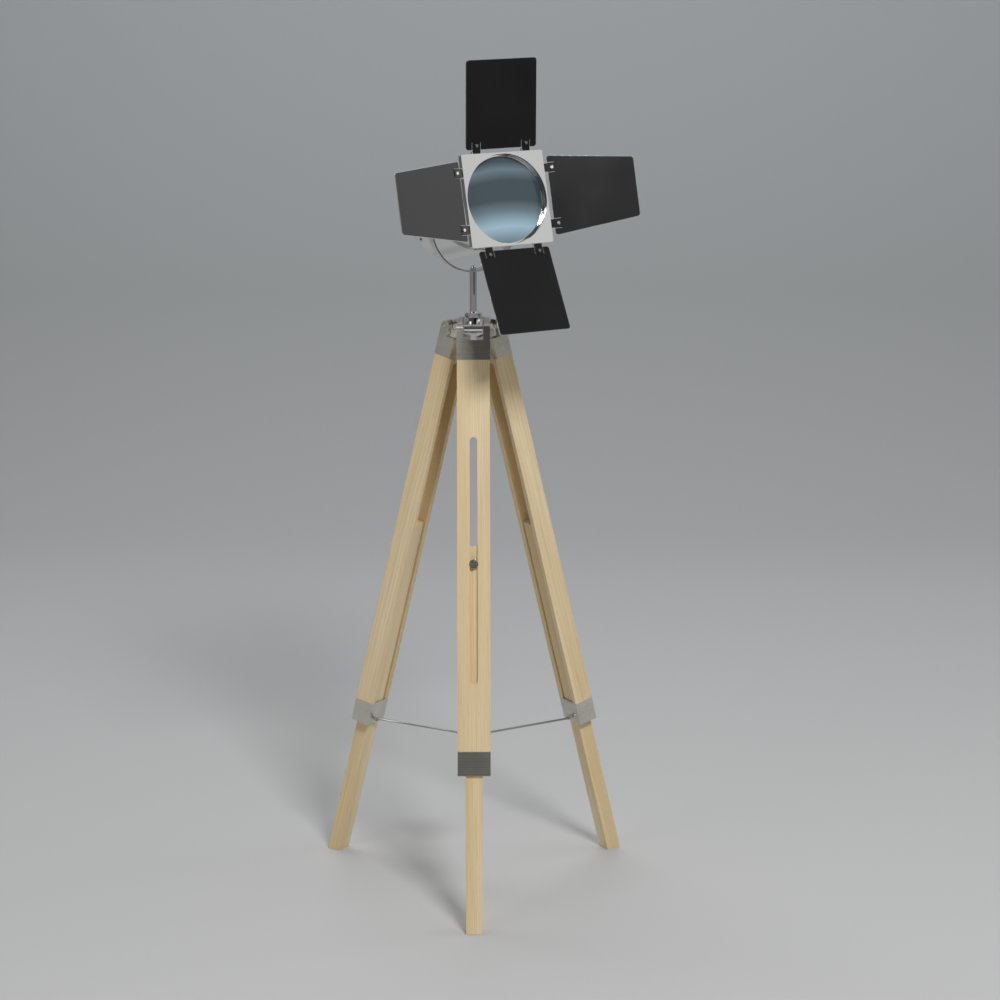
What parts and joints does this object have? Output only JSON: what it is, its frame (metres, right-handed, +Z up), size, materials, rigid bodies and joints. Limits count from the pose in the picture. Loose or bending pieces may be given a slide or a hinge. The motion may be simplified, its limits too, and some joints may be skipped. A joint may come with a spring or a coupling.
{
  "type": "tripod spotlight floor lamp",
  "caption": "Floor lamp with a square-fronted spotlight head and hinged barn doors on a post and a folding wooden tripod with sliding lower legs.",
  "frame": {"origin": "on the floor, on the vertical axis of the tripod and of the post", "axes": "+Z up along the post, -Y toward the front leg, +X to the right of a person who looks at the front leg"},
  "size_m": [0.5293, 0.4463, 1.4007],
  "materials": {
    "black_sheet": "satin black paint",
    "brass_bush": "turned brass",
    "bulb_glass": "frosted glass",
    "chrome": "polished chrome plate",
    "gland_black": "moulded nylon",
    "holder_white": "glazed white lamp holder",
    "lens_glass": "clear glass, slightly domed",
    "pale_wood": "clear satin lacquer on pale hardwood",
    "reflector_aluminium": "bright spun aluminium",
    "satin_nickel": "satin nickel plate",
    "steel_rod": "bright drawn steel",
    "steel_screws": "plated steel"
  },
  "bodies": {
    "base": {"hub_spider": "chrome", "hub_screws": "steel_screws", "post_collar": "chrome", "post_tube": "chrome", "hub_nut": "chrome", "swivel_stud": "steel_screws", "swivel_nut": "chrome"},
    "leg_front": {"leg_bracket_front": "satin_nickel", "hinge_pin_front": "steel_screws", "upper_leg_front": "pale_wood", "leg_band_front": "satin_nickel"},
    "slider_front": {"lower_leg_front": "pale_wood", "clamp_washer_front": "steel_screws"},
    "clamp_front": {"clamp_screw_front": "steel_screws"},
    "rod_front": {"spreader_rod_front": "steel_rod"},
    "leg_left": {"leg_bracket_left": "satin_nickel", "hinge_pin_left": "steel_screws", "upper_leg_left": "pale_wood", "leg_band_left": "satin_nickel"},
    "slider_left": {"lower_leg_left": "pale_wood", "clamp_washer_left": "steel_screws"},
    "clamp_left": {"clamp_screw_left": "steel_screws"},
    "rod_left": {"spreader_rod_left": "steel_rod"},
    "leg_right": {"leg_bracket_right": "satin_nickel", "hinge_pin_right": "steel_screws", "upper_leg_right": "pale_wood", "leg_band_right": "satin_nickel"},
    "slider_right": {"lower_leg_right": "pale_wood", "clamp_washer_right": "steel_screws"},
    "clamp_right": {"clamp_screw_right": "steel_screws"},
    "rod_right": {"spreader_rod_right": "steel_rod"},
    "spreader_plate": {"spreader_plate": "steel_rod"},
    "yoke": {"yoke": "chrome"},
    "head": {"lamp_can": "chrome", "rear_cap": "chrome", "rear_cap_screws": "steel_screws", "front_plate": "chrome", "door_hinge_pins": "steel_screws", "lens_ring": "black_sheet", "lens": "lens_glass", "reflector": "reflector_aluminium", "lamp_holder": "holder_white", "bulb": "bulb_glass", "cable_gland": "gland_black", "pivot_bushes": "brass_bush"},
    "knob_left": {"tilt_knob_left": "chrome"},
    "knob_right": {"tilt_knob_right": "chrome"},
    "door_top": {"barn_door_top": "black_sheet", "door_straps_top": "black_sheet", "door_screws_top": "steel_screws"},
    "door_right": {"barn_door_right": "black_sheet", "door_straps_right": "black_sheet", "door_screws_right": "steel_screws"},
    "door_bottom": {"barn_door_bottom": "black_sheet", "door_straps_bottom": "black_sheet", "door_screws_bottom": "steel_screws"},
    "door_left": {"barn_door_left": "black_sheet", "door_straps_left": "black_sheet", "door_screws_left": "steel_screws"}
  },
  "joints": [
    {"name": "leg_front_fold", "type": "hinge", "parent": "base", "child": "leg_front", "pos_m": [0, -0.038, 0.958], "axis": [1, 0, 0], "range_deg": [0, 9.5]},
    {"name": "rod_front_swing", "type": "hinge", "parent": "leg_front", "child": "rod_front", "pos_m": [0, -0.1905, 0.24956], "axis": [1, 0, 0], "range_deg": [0, 72.25]},
    {"name": "lower_leg_front_slide", "type": "slide", "parent": "leg_front", "child": "slider_front", "axis": [0, -0.2521, -0.9677], "range_m": [-0.2, 0.19]},
    {"name": "clamp_front_turn", "type": "hinge", "parent": "slider_front", "child": "clamp_front", "pos_m": [0, -0.14256, 0.58635], "axis": [0, -0.9677, 0.2521], "range_deg": [-180, 180]},
    {"name": "leg_left_fold", "type": "hinge", "parent": "base", "child": "leg_left", "pos_m": [-0.03291, 0.019, 0.958], "axis": [-0.5, -0.866, 0], "range_deg": [0, 9.5]},
    {"name": "rod_left_swing", "type": "hinge", "parent": "leg_left", "child": "rod_left", "pos_m": [-0.16498, 0.09525, 0.24956], "axis": [-0.5, -0.866, 0], "range_deg": [0, 72.25]},
    {"name": "lower_leg_left_slide", "type": "slide", "parent": "leg_left", "child": "slider_left", "axis": [-0.2183, 0.126, -0.9677], "range_m": [-0.2, 0.19]},
    {"name": "clamp_left_turn", "type": "hinge", "parent": "slider_left", "child": "clamp_left", "pos_m": [-0.12346, 0.07128, 0.58635], "axis": [-0.8381, 0.4839, 0.2521], "range_deg": [-180, 180]},
    {"name": "leg_right_fold", "type": "hinge", "parent": "base", "child": "leg_right", "pos_m": [0.03291, 0.019, 0.958], "axis": [-0.5, 0.866, 0], "range_deg": [0, 9.5]},
    {"name": "rod_right_swing", "type": "hinge", "parent": "leg_right", "child": "rod_right", "pos_m": [0.16498, 0.09525, 0.24956], "axis": [-0.5, 0.866, 0], "range_deg": [0, 72.25]},
    {"name": "lower_leg_right_slide", "type": "slide", "parent": "leg_right", "child": "slider_right", "axis": [0.2183, 0.126, -0.9677], "range_m": [-0.2, 0.19]},
    {"name": "clamp_right_turn", "type": "hinge", "parent": "slider_right", "child": "clamp_right", "pos_m": [0.12346, 0.07128, 0.58635], "axis": [0.8381, 0.4839, 0.2521], "range_deg": [-180, 180]},
    {"name": "spreader_plate_level", "type": "hinge", "parent": "rod_front", "child": "spreader_plate", "pos_m": [0, -0.0265, 0.24956], "axis": [1, 0, 0], "range_deg": [-81.75, 0]},
    {"name": "head_swivel", "type": "hinge", "parent": "base", "child": "yoke", "pos_m": [0, 0, 1.046], "axis": [0, 0, 1], "range_deg": [-170, 170]},
    {"name": "head_tilt", "type": "hinge", "parent": "yoke", "child": "head", "pos_m": [0, 0, 1.15], "axis": [0.8712, 0.4909, 0], "range_deg": [-15, 20]},
    {"name": "knob_left_turn", "type": "hinge", "parent": "head", "child": "knob_left", "pos_m": [0, 0, 1.15], "axis": [-0.8712, -0.4909, 0], "range_deg": [-180, 180]},
    {"name": "knob_right_turn", "type": "hinge", "parent": "head", "child": "knob_right", "pos_m": [0, 0, 1.15], "axis": [0.8712, 0.4909, 0], "range_deg": [-180, 180]},
    {"name": "door_top_swing", "type": "hinge", "parent": "head", "child": "door_top", "pos_m": [0.04466, -0.07926, 1.25368], "axis": [0.8712, 0.4909, 0], "range_deg": [-25, 75]},
    {"name": "door_right_swing", "type": "hinge", "parent": "head", "child": "door_right", "pos_m": [0.12173, -0.05817, 1.17867], "axis": [0.1233, -0.2189, -0.9679], "range_deg": [-25, 75]},
    {"name": "door_bottom_swing", "type": "hinge", "parent": "head", "child": "door_bottom", "pos_m": [0.06377, -0.11318, 1.10365], "axis": [-0.8712, -0.4909, 0], "range_deg": [-25, 75]},
    {"name": "door_left_swing", "type": "hinge", "parent": "head", "child": "door_left", "pos_m": [-0.0133, -0.13426, 1.17867], "axis": [-0.1233, 0.2189, 0.9679], "range_deg": [-25, 75]}
  ],
  "couplings": [
    {"joint": "leg_left_fold", "follows": "leg_front_fold", "ratio": 1},
    {"joint": "leg_right_fold", "follows": "leg_front_fold", "ratio": 1},
    {"joint": "rod_front_swing", "follows": "leg_front_fold", "ratio": 7.6},
    {"joint": "rod_left_swing", "follows": "leg_front_fold", "ratio": 7.6},
    {"joint": "rod_right_swing", "follows": "leg_front_fold", "ratio": 7.6},
    {"joint": "spreader_plate_level", "follows": "leg_front_fold", "ratio": -8.6}
  ]
}
